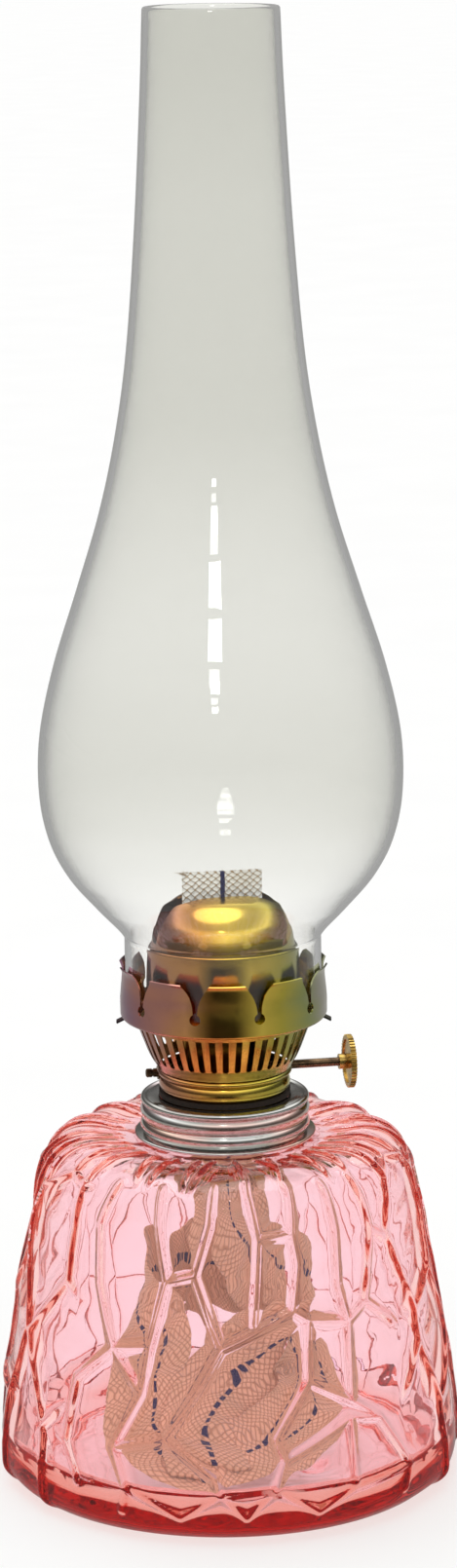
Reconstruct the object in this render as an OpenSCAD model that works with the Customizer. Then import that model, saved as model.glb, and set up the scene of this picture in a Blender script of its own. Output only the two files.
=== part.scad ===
// Oil lamp with a flat-wick burner. Millimetres, +Z up.
// The origin is the centre of the font's foot, and the wick-raiser shaft lies along +X.

/* [Chimney] */
// Height of the chimney's rim above the table
lamp_h = 398; // [394:0.5:402]
// Outer radius of the plain tube that stands in the gallery
fitter_r = 26.6; // [26.2:0.1:26.7]
// Outer radius at the fullest part of the bulge
bulge_r = 48.8; // [44:0.2:52]
// Outer radius of the rim
rim_r = 18; // [16:0.1:20]
// Thickness of the chimney's glass
chimney_t = 1.7; // [1.4:0.1:2]

/* [Font] */
// Outer radius of the font near its foot
font_r = 63; // [61:0.2:65]
// Thickness of the font's wall
font_t = 3.2; // [2.6:0.1:3.6]
// Outer radius of the plain part of the neck
neck_r = 21; // [20.8:0.1:21.2]

/* [Collar] */
// Outer radius of the rolled beads
collar_r = 23; // [22.8:0.1:23.4]
// Radius of the flange at the collar's foot
flange_r = 24.7; // [24:0.1:25.4]

/* [Burner] */
// Thickness of the pressed sheet
sheet_t = 0.45; // [0.35:0.05:0.5]
// Number of bars and slots round the air basket
slot_count = 40; // [30:1:44]
// Number of prongs on the gallery
prong_count = 10; // [8:1:10]
// Outer radius of the gallery's wall
gallery_r = 28.05; // [27.9:0.05:28.6]
// Width of the flame slot in the dome
flame_slot_w = 7.5; // [6:0.1:8]

/* [Wick and raiser] */
// Width of the wick
wick_w = 22; // [20:0.5:22]
// Thickness of the wick
wick_t = 1.8; // [1.4:0.1:1.9]
// Height of the wick's top edge above the table
wick_top = 167.6; // [160:0.1:170]
// Radius of the shaft
shaft_r = 1.2; // [1:0.05:1.3]
// Radius of the knob
knob_r = 7.35; // [6.5:0.05:8]
// Number of teeth round the knob
knob_teeth = 44; // [36:1:48]

/* [Hidden] */
$fn = 96;
fine = 160;

// Heights of the stack, from the font's neck up to the dome
neck_top = 104.2;
collar_foot = 94.9;
collar_top = 105.9;
seal_top = 107.3;
skirt_foot = 98.5;
skirt_top = 113.7;
slot_foot = 116.6;
basket_top = 127.85;
gallery_top = 142.3;
dome_foot = basket_top + sheet_t + 0.1;
dome_ring = 149.2;
dome_top = 161.6;
chimney_foot = basket_top + 2 * sheet_t - 0.1;
crease_z = 150.5;

// Radii that have to clear one another
neck_bore = 18.6;
sleeve_out = 18.25;
sleeve_in = 17.8;
skirt_r = 16.9;
collar_in = collar_r - 1.05;
bead_r = 17.7;

// The shaft runs behind the wick tube
shaft_y = 4.9;
shaft_z = 111.2;
wheel_r = 3.85;
wheel_x = 7.5;
shaft_left = -20.9;
shaft_right = 37.4;
knob_x = 35.7;
bush_in = 15;
bush_out = 17.7;
running = 0.05;

// The wick tube's inside
tube_w = 23;
tube_gap = 2.5;
tube_wall = 0.35;
tube_foot = 100.5;
tube_top = 156.5;
floor_z = 105;

brass = [0.72, 0.58, 0.25];
bronze = [0.60, 0.45, 0.22];
dark_steel = [0.32, 0.27, 0.22];
silver = [0.70, 0.72, 0.74];
cream = [0.86, 0.80, 0.70];

// ---- outline helpers; every profile is a list of [radius, height] ----

// One Catmull-Rom value between b and c
function blend4(a, b, c, d, t) =
    0.5 * (2 * b + (c - a) * t + (2 * a - 5 * b + 4 * c - d) * t * t
        + (3 * b - a - 3 * c + d) * t * t * t);

// A smooth curve through the points p, with n steps from each to the next
function curve(p, n) =
    let (m = len(p) - 1)
    [for (i = [0 : m - 1], k = [0 : n - 1])
        blend4(i > 0 ? p[i - 1] : 2 * p[0] - p[1], p[i], p[i + 1],
            i < m - 1 ? p[i + 2] : 2 * p[m] - p[m - 1], k / n),
     p[m]];

// The same profile moved inwards by t, square to itself
function inset(p, t) =
    let (m = len(p) - 1)
    [for (i = [0 : m])
        let (d = p[min(i + 1, m)] - p[max(i - 1, 0)], l = norm(d))
        p[i] + t * [-d[1], d[0]] / l];

function backwards(p) = [for (i = [len(p) - 1 : -1 : 0]) p[i]];

// Part of a circle in the profile plane
function arc(c, r, a0, a1, n) =
    [for (i = [0 : n]) c + r * [cos(a0 + (a1 - a0) * i / n), sin(a0 + (a1 - a0) * i / n)]];

// A rolled bead of height h that stands out from radius r
function bead(r, h, z0, z1, n) =
    [for (i = [0 : n]) [r + h * sin(180 * i / n), z0 + (z1 - z0) * i / n]];

module spin(profile) {
    rotate_extrude($fn = fine) polygon(profile);
}

// A shell of sheet under an outer profile that runs upwards
module sheet_spin(profile, t) {
    spin(concat(profile, backwards(inset(profile, t))));
}

module ring(r_in, r_out, z0, z1) {
    translate([0, 0, z0]) difference() {
        cylinder(r = r_out, h = z1 - z0);
        translate([0, 0, -1]) cylinder(r = r_in, h = z1 - z0 + 2);
    }
}

// A rolled thread, drawn as separate round rings
module thread_rings(r, wire, z0, pitch, count) {
    for (i = [0 : count - 1])
        translate([0, 0, z0 + i * pitch])
            rotate_extrude($fn = fine) translate([r, 0]) circle(r = wire, $fn = 24);
}

module along_x(x0, x1, r) {
    translate([x0, shaft_y, shaft_z]) rotate([0, 90, 0]) cylinder(r = r, h = x1 - x0);
}

// A rectangle with round ends, as the folded tubes have
module flat_oval(w, t) {
    hull_w = (w - t) / 2;
    square([2 * hull_w, t], center = true);
    for (s = [-1, 1]) translate([s * hull_w, 0]) circle(d = t, $fn = 32);
}

// ---- font and collar ----

shoulder = [[font_r - 0.6, 16.8], [60.9, 28], [58.9, 39.4], [56.2, 56], [53.7, 72],
    [52.3, 79], [50.6, 85.4], [47.9, 90.4], [43.6, 93.9], [38.2, 95.3], [32.5, 95],
    [27, 94.3]];

module font_glass() {
    outside = concat([[50, 0], [58, 0]], arc([55.8, 7.2], font_r - 55.8, -56, 0, 8),
        [[font_r, 12]], curve(shoulder, 5));
    neck = [[neck_r + 1.6, 94.3], [neck_r, 95.6], [neck_r, neck_top - 0.8],
        [neck_r - 0.8, neck_top], [neck_bore + 0.6, neck_top], [neck_bore, neck_top - 0.6]];
    inside = concat([[neck_bore, 92.6], [neck_bore + 1.2, 91.2]],
        backwards(inset(curve(shoulder, 5), font_t)), arc([48.6, 15.2], 10, -8, -84, 6),
        [[30, 5.8], [0, 6.4]]);
    underside = [[0, 2.6], [30, 2.2], [47.5, 1.2]];
    color([0.93, 0.6, 0.62, 0.6]) {
        spin(concat(outside, neck, inside, underside));
        thread_rings(neck_r, 0.6, 97.6, 3, 2);
    }
}

module collar_gasket() {
    color([0.62, 0.45, 0.28]) ring(sleeve_out + 0.3, neck_r + 0.6, neck_top + 0.05,
        collar_top - sheet_t - 0.1);
}

module collar_cap() {
    groove = collar_r - 0.65;
    outside = concat(arc([flange_r - 0.45, collar_foot + 0.45], 0.45, -90, 90, 8),
        [[groove + 0.2, collar_foot + 0.95]],
        bead(groove, 0.65, 96.1, 99.5, 10), bead(groove, 0.65, 99.9, 103.6, 10),
        [[groove, 104]], arc([22.1, 105.4], 0.95, -40, 120, 10),
        [[21.3, collar_top], [sleeve_in + 0.4, collar_top]]);
    inside = [[sleeve_in, collar_top - 0.4], [sleeve_in, 97.5], [sleeve_out, 97.5],
        [sleeve_out, collar_top - sheet_t], [collar_in, collar_top - sheet_t],
        [collar_in, collar_foot]];
    color(silver) {
        spin(concat(outside, inside));
        thread_rings(sleeve_in, 0.15, 98.6, 3, 3);
    }
}

// ---- burner body ----

module burner_seal() {
    color([0.16, 0.13, 0.12]) ring(skirt_r + 0.1, bead_r + 0.2, collar_top + 0.05, seal_top);
}

// Screwed skirt, and above it the two rolled beads
module burner_base() {
    outside = concat([[skirt_r, skirt_foot], [skirt_r, seal_top + 0.1]],
        bead(skirt_r + 0.3, 0.5, seal_top + 0.3, 111.4, 10),
        bead(skirt_r + 0.5, 0.8, 111.6, skirt_top, 8));
    color(brass) {
        difference() {
            spin(concat(outside, [[skirt_r - sheet_t, skirt_top], [skirt_r - sheet_t, skirt_foot]]));
            along_x(-30, 30, 1.9);
        }
        thread_rings(skirt_r, 0.35, 99.6, 3, 2);
    }
}

module base_plate() {
    color(bronze) difference() {
        translate([0, 0, floor_z]) cylinder(r = skirt_r - sheet_t - running, h = 0.4);
        translate([0, 0, floor_z - 1]) {
            linear_extrude(3) flat_oval(tube_w + 2 * tube_wall, tube_gap + 2 * tube_wall);
            translate([9, -6.5, 0]) cylinder(r = 1.9, h = 3);
            for (a = [200 : 35 : 305])
                rotate(a) translate([11.5, 0, 0]) cylinder(r = 1, h = 3, $fn = 32);
        }
    }
}

module wick_tube() {
    color(brass) difference() {
        translate([0, 0, tube_foot]) linear_extrude(tube_top - tube_foot)
            flat_oval(tube_w + 2 * tube_wall, tube_gap + 2 * tube_wall);
        translate([0, 0, tube_foot - 1]) linear_extrude(tube_top - tube_foot + 2)
            flat_oval(tube_w, tube_gap);
        for (x = [-wheel_x, 0, wheel_x])
            translate([x - 0.8, 0.4, shaft_z - 3]) cube([1.6, 3, 6]);
    }
}

module vent_tube() {
    translate([9, -6.5, 0]) color(brass) ring(1.5, 1.9, 101, 124);
}

// Folded box that keeps lint and air from the feed wheels
module wheel_housing() {
    wall = 0.4;
    x_out = 10.7;
    y_in = (tube_gap + 2 * tube_wall) / 2 + 0.05;
    y_out = 9.4;
    z_in = floor_z + 0.4;
    z_out = 116;
    color(bronze) difference() {
        translate([-x_out, y_in, z_in]) cube([2 * x_out, y_out - y_in, z_out - z_in]);
        translate([-x_out + wall, y_in - 1, z_in - 1])
            cube([2 * (x_out - wall), y_out - wall - y_in + 1, z_out - wall - z_in + 1]);
        along_x(-x_out - 1, x_out + 1, shaft_r + 0.4);
    }
}

module air_basket() {
    outside = concat(curve([[18.1, skirt_top], [18.9, 115.2], [20.4, 117.8], [22.2, 122.4],
        [23.6, 126.2], [24.1, basket_top - 0.5]], 3), [[24.1, basket_top]]);
    slot_w = 1.65;
    slot_top = 126.2;
    color(brass) difference() {
        sheet_spin(outside, sheet_t);
        for (i = [0 : slot_count - 1])
            rotate(i * 360 / slot_count) translate([15, 0, 0]) rotate([90, 0, 90])
                linear_extrude(15) {
                    translate([-slot_w / 2, slot_foot + slot_w / 2])
                        square([slot_w, slot_top - slot_foot - slot_w / 2]);
                    translate([0, slot_foot + slot_w / 2]) circle(d = slot_w, $fn = 24);
                }
    }
}

module air_plate() {
    hole_rings = [[13.4, 18], [17.6, 24]];
    color(bronze) difference() {
        translate([0, 0, basket_top + 0.05]) cylinder(r = 22.7, h = sheet_t);
        translate([0, 0, basket_top - 1]) {
            linear_extrude(3) flat_oval(tube_w + 2 * tube_wall, tube_gap + 2 * tube_wall);
            for (h = hole_rings, i = [0 : h[1] - 1])
                rotate((i + 0.5) * 360 / h[1]) translate([h[0], 0, 0])
                    cylinder(r = 0.8, h = 3, $fn = 24);
        }
    }
}

// ---- gallery and dome ----

// Opening between two prongs: a round hole, a throat and a wide curved mouth
module prong_gap() {
    hole_z = 133.4;
    mouth = curve([[0.6, 135.4], [0.85, 137], [1.7, 139.4], [3.2, 141.6], [4.6, gallery_top + 1]], 4);
    rotate([90, 0, 90]) linear_extrude(12) {
        translate([0, hole_z]) circle(r = 1.5, $fn = 32);
        polygon(concat([[0.6, hole_z]], mouth, [for (p = backwards(mouth)) [-p[0], p[1]]],
            [[-0.6, hole_z]]));
    }
}

module gallery() {
    corner = arc([gallery_r - 1.3, basket_top + 1.3], 1.3, -90, 0, 6);
    outside = concat([[23, basket_top]], corner, curve([[gallery_r, 133], [27.75, 137.5],
        [27.45, 140.2], [28.4, gallery_top]], 4));
    first_gap = 28;
    color(brass) difference() {
        sheet_spin(outside, sheet_t);
        for (i = [0 : prong_count - 1])
            rotate(first_gap + i * 360 / prong_count) translate([20, 0, 0]) prong_gap();
    }
}

module gallery_tabs() {
    leaf = [[24.5, basket_top], [26.3, basket_top], [29.2, 126.4], [29, 125.9],
        [26.1, basket_top - 0.5], [24.5, basket_top - 0.5]];
    color(bronze) for (a = [-10, 170])
        rotate(a) translate([0, 1.5, 0]) rotate([90, 0, 0]) linear_extrude(3) polygon(leaf);
}

module deflector_dome() {
    outside = concat([[20.9, dome_foot], [20.85, 140], [20.3, 147.6], [19.8, dome_ring]],
        curve([[19.3, 149.6], [19.1, 151], [18.35, 153.4], [16.9, 156.2], [14.8, 158.5],
            [11.8, 160.2], [8, 161.1], [0, dome_top]], 4));
    slot_foot_z = 150.6;
    color(brass) difference() {
        spin(concat(outside, [for (p = backwards(inset(outside, sheet_t))) [max(p[0], 0), p[1]]]));
        translate([-30, -flame_slot_w / 2, slot_foot_z]) cube([60, flame_slot_w, 20]);
    }
}

// ---- wick raiser ----

// Toothed feed wheel; its points reach through the tube's slots
module feed_wheel(x) {
    teeth = 12;
    root_r = 2.8;
    star = [for (i = [0 : 2 * teeth - 1])
        (i % 2 == 0 ? wheel_r : root_r) * [cos(i * 180 / teeth), sin(i * 180 / teeth)]];
    color(bronze) translate([x - 0.4, shaft_y, shaft_z]) rotate([0, 90, 0])
        linear_extrude(0.8) difference() {
            polygon(star);
            circle(r = shaft_r);
        }
}

module feed_wheel_left() { feed_wheel(-wheel_x); }

module feed_wheel_middle() { feed_wheel(0); }

module feed_wheel_right() { feed_wheel(wheel_x); }

module spindle_shaft() {
    chamfer = 0.35;
    groove_x = shaft_left + 1.6;
    color(dark_steel) difference() {
        union() {
            along_x(shaft_left + chamfer, shaft_right, shaft_r);
            translate([shaft_left, shaft_y, shaft_z]) rotate([0, 90, 0])
                cylinder(r1 = shaft_r - chamfer, r2 = shaft_r, h = chamfer, $fn = 48);
        }
        difference() {
            along_x(groove_x, groove_x + 0.5, shaft_r + 1);
            along_x(groove_x - 1, groove_x + 2, shaft_r - 0.25);
        }
    }
}

module shaft_clip() {
    color(silver) difference() {
        along_x(-14.4, -13.8, 2.2);
        along_x(-16, -12, shaft_r);
    }
}

module bush(x0, x1) {
    color(bronze) difference() {
        along_x(x0, x1, 1.9);
        along_x(x0 - 1, x1 + 1, shaft_r + running);
    }
}

module bush_left() { bush(-bush_out, -bush_in); }

module bush_right() { bush(bush_in, bush_out); }

// Dished knob with a toothed rim and a boss on its inner side
module thumb_wheel() {
    rim_t = 1.5;
    notch = 0.35;
    rim = [for (i = [0 : 4 * knob_teeth - 1])
        (knob_r - (i % 4 < 2 ? 0 : notch))
            * [cos(i * 90 / knob_teeth), sin(i * 90 / knob_teeth)]];
    color(brass) {
        difference() {
            translate([knob_x - rim_t / 2, shaft_y, shaft_z]) rotate([0, 90, 0])
                linear_extrude(rim_t) polygon(rim);
            along_x(knob_x - rim_t, knob_x - 0.35, knob_r - 1.3);
            along_x(knob_x + 0.35, knob_x + rim_t, knob_r - 1.3);
            along_x(knob_x - 4, knob_x + 2, shaft_r);
        }
        difference() {
            along_x(knob_x - 3, knob_x - 0.35, 2.1);
            along_x(knob_x - 4, knob_x, shaft_r);
        }
    }
}

module knob_rivet() {
    color(dark_steel) difference() {
        along_x(knob_x + 0.35, knob_x + 1.1, 1.9);
        along_x(knob_x, knob_x + 2, shaft_r);
    }
}

// ---- wick and chimney ----

module wick() {
    foot = 99.6;
    color(cream) translate([-wick_w / 2, -wick_t / 2, foot])
        cube([wick_w, wick_t, wick_top - foot]);
}

// The loose end: it hangs under the burner and lies folded on the font's floor
module wick_tail() {
    heap_w = 58;
    hang_foot = 44;
    fold = [[-2, hang_foot + 1], [12, 40], [22, 34], [-22, 20], [-26, 16], [26, 12],
        [26, 9.6], [-28, 13.4], [-28, 18], [-22, 22.4], [14, 34], [6, 37.6], [-2, 42]];
    color(cream) {
        translate([-wick_w / 2, -wick_t / 2, hang_foot]) cube([wick_w, wick_t, 99.5 - hang_foot]);
        translate([0, heap_w / 2, 0]) rotate([90, 0, 0]) linear_extrude(heap_w) polygon(fold);
    }
}

module chimney() {
    flare = curve([[fitter_r, crease_z], [fitter_r + 2.2, 153.4], [34.6, 159.6], [41.6, 168],
        [46.4, 177.6], [bulge_r, 190], [bulge_r - 0.4, 206], [44.4, 224.5], [38, 244.5],
        [31.5, 265.5], [26.9, 286], [23.5, 309], [20.85, 341], [18.85, 376],
        [rim_r, lamp_h - chimney_t / 2]], 4);
    outside = concat([[fitter_r, chimney_foot + 0.5]], flare);
    inside = inset(outside, chimney_t);
    rim = arc((outside[len(outside) - 1] + inside[len(inside) - 1]) / 2, chimney_t / 2, 15, 165, 6);
    foot = [[fitter_r - chimney_t + 0.4, chimney_foot], [fitter_r - 0.4, chimney_foot]];
    color([0.85, 0.88, 0.84, 0.35]) spin(concat(outside, rim, backwards(inside), foot));
}

font_glass();
collar_gasket();
collar_cap();
burner_seal();
burner_base();
base_plate();
wick_tube();
vent_tube();
wheel_housing();
feed_wheel_left();
feed_wheel_middle();
feed_wheel_right();
spindle_shaft();
shaft_clip();
bush_left();
bush_right();
thumb_wheel();
knob_rivet();
air_basket();
air_plate();
gallery();
gallery_tabs();
deflector_dome();
wick();
wick_tail();
chimney();
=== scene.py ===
import math
import random

import bpy
import numpy as np
from mathutils import Matrix, Vector


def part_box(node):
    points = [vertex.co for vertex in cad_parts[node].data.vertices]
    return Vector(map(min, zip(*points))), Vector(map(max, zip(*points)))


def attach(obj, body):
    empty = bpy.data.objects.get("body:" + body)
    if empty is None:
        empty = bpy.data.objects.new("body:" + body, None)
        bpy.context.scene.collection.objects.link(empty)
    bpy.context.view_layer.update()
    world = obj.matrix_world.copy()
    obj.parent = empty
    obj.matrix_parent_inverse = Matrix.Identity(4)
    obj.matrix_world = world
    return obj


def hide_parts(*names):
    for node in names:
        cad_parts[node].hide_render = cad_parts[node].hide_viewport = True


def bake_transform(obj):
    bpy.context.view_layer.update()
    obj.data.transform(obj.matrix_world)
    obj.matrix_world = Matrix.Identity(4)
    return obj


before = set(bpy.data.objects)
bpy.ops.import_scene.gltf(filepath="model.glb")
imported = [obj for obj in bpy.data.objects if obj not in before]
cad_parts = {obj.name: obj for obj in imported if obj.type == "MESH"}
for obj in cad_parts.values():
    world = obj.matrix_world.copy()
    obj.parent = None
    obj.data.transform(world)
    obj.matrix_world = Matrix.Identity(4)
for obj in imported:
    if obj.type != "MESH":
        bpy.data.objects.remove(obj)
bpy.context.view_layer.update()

MM = 0.001

# The camera stands a little left of the lamp's front and above the chimney's rim. Its angles
# are in degrees, its lens is in mm and its other lengths are in metres.
CAMERA_BEARING = -10.0
CAMERA_DISTANCE = 1.187
CAMERA_HEIGHT = 0.446
CAMERA_PITCH = 12.09
CAMERA_ROLL = -0.72
CAMERA_YAW_OFF_AXIS = 0.10
CAMERA_LENS = 103.77


# ---------------------------------------------------------------- shapes

def catmull(points, steps):
    """A smooth curve through the points, with some steps from each to the next."""
    p = np.array(points, float)
    p = np.vstack([2 * p[0] - p[1], p, 2 * p[-1] - p[-2]])
    t = np.linspace(0, 1, steps, endpoint=False)[:, None]
    parts = [
        0.5 * (2 * b + (c - a) * t + (2 * a - 5 * b + 4 * c - d) * t**2
               + (3 * b - a - 3 * c + d) * t**3)
        for a, b, c, d in zip(p[:-3], p[1:-2], p[2:-1], p[3:])
    ]
    return np.vstack(parts + [p[-2:-1]])


def arc(centre, radius, start, end, count):
    """Points of a circle, from one angle to another in degrees."""
    turn = np.radians(np.linspace(start, end, count))
    return np.array(centre) + radius * np.stack([np.cos(turn), np.sin(turn)], 1)


def normals_of(line):
    """Unit normals to the left of each point of a 2-D line."""
    way = np.gradient(line, axis=0)
    way /= np.linalg.norm(way, axis=1)[:, None]
    return np.stack([-way[:, 1], way[:, 0]], 1)


def inset(line, depth):
    """The same outline moved inwards, where the outline runs upwards on the outside."""
    return line + depth * normals_of(line)


def run_of(line):
    """Distance along a line to each of its points."""
    return np.concatenate([[0], np.cumsum(np.linalg.norm(np.diff(line, axis=0), axis=1))])


def evenly(line, spacing):
    """The line again, with its points at about that spacing."""
    run = run_of(line)
    at = np.linspace(0, run[-1], int(round(run[-1] / spacing)) + 1)
    return np.stack([np.interp(at, run, line[:, k]) for k in range(line.shape[1])], 1)


def shade_smooth(mesh):
    mesh.polygons.foreach_set("use_smooth", [True] * len(mesh.polygons))


def solid(name, verts, faces):
    """A mesh object in the scene, from points in metres and lists of corner numbers."""
    mesh = bpy.data.meshes.new(name)
    mesh.from_pydata(verts, [], faces)
    made = bpy.data.objects.new(name, mesh)
    bpy.context.scene.collection.objects.link(made)
    return made


def skin(name, points, wrap_rows=False, wrap_columns=True):
    """A quad mesh over a grid of points (rows, columns, 3) in metres."""
    rows, columns = points.shape[:2]
    index = np.arange(rows * columns).reshape(rows, columns)
    if wrap_rows:
        index = np.vstack([index, index[:1]])
    if wrap_columns:
        index = np.hstack([index, index[:, :1]])
    quads = np.stack([index[:-1, :-1], index[:-1, 1:], index[1:, 1:], index[1:, :-1]], 2)
    made = solid(name, points.reshape(-1, 3).tolist(), quads.reshape(-1, 4).tolist())
    shade_smooth(made.data)
    return made


def around(profile, segments):
    """The grid of points that a profile in mm (radius, height) makes round the Z axis."""
    turn = np.linspace(0, 2 * math.pi, segments, endpoint=False)
    r, z = profile[:, 0][:, None], profile[:, 1][:, None]
    return np.stack([r * np.cos(turn), r * np.sin(turn), z + 0 * turn], 2) * MM


def apply(piece, modifier):
    """Applies a modifier to the piece's mesh."""
    bpy.context.view_layer.objects.active = piece
    for other in bpy.context.selected_objects:
        other.select_set(False)
    piece.select_set(True)
    bpy.ops.object.modifier_apply(modifier=modifier.name)


def weld(made, distance):
    """Joins the points that meet on the axis."""
    merge = made.modifiers.new("weld", "WELD")
    merge.merge_threshold = distance
    apply(made, merge)
    return made


def cut(piece, cutter):
    """Takes the cutter's solid out of the piece, and keeps its smooth shading."""
    taken = piece.modifiers.new("cut", "BOOLEAN")
    taken.solver = "EXACT"
    taken.object = cutter
    apply(piece, taken)
    bpy.data.objects.remove(cutter)
    shade_smooth(piece.data)
    piece.data.set_sharp_from_angle(angle=math.radians(35))


def prisms(name, outline, near, far, turns):
    """Copies of an outline in mm (across, height) as solids that reach out from the axis."""
    verts, faces = [], []
    count = len(outline)
    for turn in turns:
        first = len(verts)
        c, s = math.cos(math.radians(turn)), math.sin(math.radians(turn))
        for x in (near, far):
            verts += [((x * c - y * s) * MM, (x * s + y * c) * MM, z * MM) for y, z in outline]
        faces.append([first + i for i in range(count)][::-1])
        faces.append([first + count + i for i in range(count)])
        for i in range(count):
            j = (i + 1) % count
            faces.append([first + i, first + j, first + count + j, first + count + i])
    return solid(name, verts, faces)


# ---------------------------------------------------------------- materials

def linear(red, green, blue):
    """A linear colour from one as a screen shows it, 0 to 255."""
    def curve(v):
        v /= 255
        return v / 12.92 if v <= 0.04045 else ((v + 0.055) / 1.055) ** 2.4
    return (curve(red), curve(green), curve(blue), 1)


def grey(value):
    """A linear grey."""
    return (value, value, value, 1)


class Tree:
    """A node tree with short ways to add and join nodes."""

    def __init__(self, tree):
        self.tree = tree
        tree.nodes.clear()

    def put(self, socket, value):
        if isinstance(value, bpy.types.NodeSocket):
            self.tree.links.new(value, socket)
        else:
            socket.default_value = value

    def add(self, kind, *values, settings=(), **named):
        node = self.tree.nodes.new("ShaderNode" + kind)
        for key, value in dict(settings).items():
            setattr(node, key, value)
        for socket, value in zip(node.inputs, values):
            if value is not None:
                self.put(socket, value)
        for key, value in named.items():
            self.put(node.inputs[key.replace("_", " ")], value)
        return node

    def maths(self, operation, *values):
        return self.add("Math", *values, settings={"operation": operation}).outputs[0]

    def ramp(self, factor, stops):
        node = self.add("ValToRGB", factor)
        ramp = node.color_ramp
        while len(ramp.elements) < len(stops):
            ramp.elements.new(0.5)
        for element, (place, colour) in zip(ramp.elements, stops):
            element.position = place
            element.color = colour
        return node.outputs[0]

    def mix(self, factor, a, b, blend="MIX"):
        node = self.add("Mix", settings={"data_type": "RGBA", "blend_type": blend})
        self.put(node.inputs[0], factor)
        self.put(node.inputs[6], a)
        self.put(node.inputs[7], b)
        return node.outputs[2]

    def spread(self, value, low, high, to_low=0.0, to_high=1.0):
        return self.add("MapRange", value, low, high, to_low, to_high).outputs[0]

    def noise(self, where, scale, detail=3.0, roughness=0.5):
        return self.add("TexNoise", Vector=where, Scale=scale, Detail=detail,
                        Roughness=roughness).outputs[0]

    def bump(self, height, distance, strength=1.0):
        return self.add("Bump", Strength=strength, Distance=distance, Height=height).outputs[0]


def material(name):
    made = bpy.data.materials.new(name)
    made.use_nodes = True
    t = Tree(made.node_tree)
    t.out = t.add("OutputMaterial")
    t.place = t.add("TexCoord").outputs["Object"]
    return made, t


def finish_material(t, shader):
    t.tree.links.new(shader, t.out.inputs["Surface"])


def lets_lamps_through(t, glass, shadow_colour):
    """Glass for the eye and a clear tint for shadow rays, so lamps light what is inside."""
    clear = t.add("BsdfTransparent", Color=shadow_colour)
    path = t.add("LightPath")
    return t.add("MixShader", path.outputs["Is Shadow Ray"], glass, clear.outputs[0]).outputs[0]


def pink_glass():
    """Pale pink where the wall is thin, and orange red where light runs far through it."""
    made, t = material("pink_glass")
    seeds = t.noise(t.place, 260.0, 2.0)
    glass = t.add("BsdfPrincipled", Base_Color=(0.99, 0.895, 0.985, 1), Roughness=0.0, IOR=1.5,
                  Transmission_Weight=1.0, Normal=t.bump(seeds, 0.00004, 0.25))
    finish_material(t, lets_lamps_through(t, glass.outputs[0], (1.0, 0.88, 0.89, 1)))
    loss_per_metre = (8.0, 52.0, 66.0)
    density = 80.0
    volume = t.add("VolumeAbsorption", Density=density,
                   Color=(*[1 - loss / density for loss in loss_per_metre], 1))
    t.tree.links.new(volume.outputs[0], t.out.inputs["Volume"])
    return made


def clear_glass(foot, rim):
    """Chimney glass with painted dark edge lines and a painted grey shade that changes with height.
    """
    made, t = material("clear_glass")
    height = t.add("SeparateXYZ", t.place).outputs["Z"]
    share = t.spread(height, foot, rim)
    # Painted shade: how much the clear glass is darkened at each height, as grey stops from foot to
    # rim.
    painted_shade_by_height = [(0.0, 0.95), (0.06, 0.95), (0.10, 0.94), (0.14, 0.88), (0.18, 0.74), (0.22, 0.67),
             (0.28, 0.68), (0.36, 0.73), (0.44, 0.72), (0.52, 0.67), (0.60, 0.61), (0.81, 0.61),
             (0.95, 0.56), (1.0, 0.56)]
    stops = [(at, (math.sqrt(v), math.sqrt(v), math.sqrt(v * (0.80 + 0.18 * v)), 1))
             for at, v in painted_shade_by_height]
    # Painted shade: the glass colour is darkened where the wall turns edge-on, and less so just
    # under the rim.
    edge = t.spread(t.add("LayerWeight", Blend=0.5).outputs["Facing"], 0.7, 0.92, 0, 0.9)
    below_rim = t.spread(share, 0.985, 0.995, 1, 0.2)
    tone = t.mix(t.maths("MULTIPLY", edge, below_rim), t.ramp(share, stops),
                 (0.36, 0.37, 0.33, 1), "MULTIPLY")
    cords = t.noise(t.add("Mapping", t.place, Scale=(1, 1, 0.08)).outputs[0], 60.0, 2.0)
    glass = t.add("BsdfPrincipled", Base_Color=tone, Roughness=0.0, IOR=1.48,
                  Transmission_Weight=1.0, Normal=t.bump(cords, 0.0002, 0.12))
    finish_material(t, lets_lamps_through(t, glass.outputs[0], (0.94, 0.94, 0.93, 1)))
    return made


def passivated_zinc(name, hues, drift, clouding, banding, roughness):
    """Zinc with a passivation film, whose colour drifts across the part and in soft bands."""
    made, t = material(name)
    parts = t.add("SeparateXYZ", t.place)
    clouds = t.noise(t.place, 42.0, 1.5, 0.4)
    bands = t.noise(t.add("Mapping", t.place, Scale=(1, 1, 7)).outputs[0], 26.0, 1.5, 0.4)
    factor = t.maths("MULTIPLY_ADD", parts.outputs["X"], drift, 0.5 - 0.5 * (clouding + banding))
    factor = t.maths("MULTIPLY_ADD", clouds, clouding, factor)
    factor = t.maths("MULTIPLY_ADD", bands, banding, factor)
    film = t.ramp(factor, hues)
    stain = t.noise(t.place, 420.0, 4.0, 0.6)
    film = t.mix(t.spread(stain, 0.6, 0.8, 0, 0.25), film, (0.16, 0.11, 0.07, 1))
    scratches = t.noise(t.add("Mapping", t.place, Scale=(1, 1, 14)).outputs[0], 700.0, 2.0)
    rough = t.spread(t.noise(t.place, 240.0, 3.0), 0.3, 0.7, roughness - 0.04, roughness + 0.07)
    metal = t.add("BsdfPrincipled", Base_Color=film, Metallic=1.0, Roughness=rough,
                  Normal=t.bump(scratches, 0.00002, 0.08))
    finish_material(t, metal.outputs[0])
    return made


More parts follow.
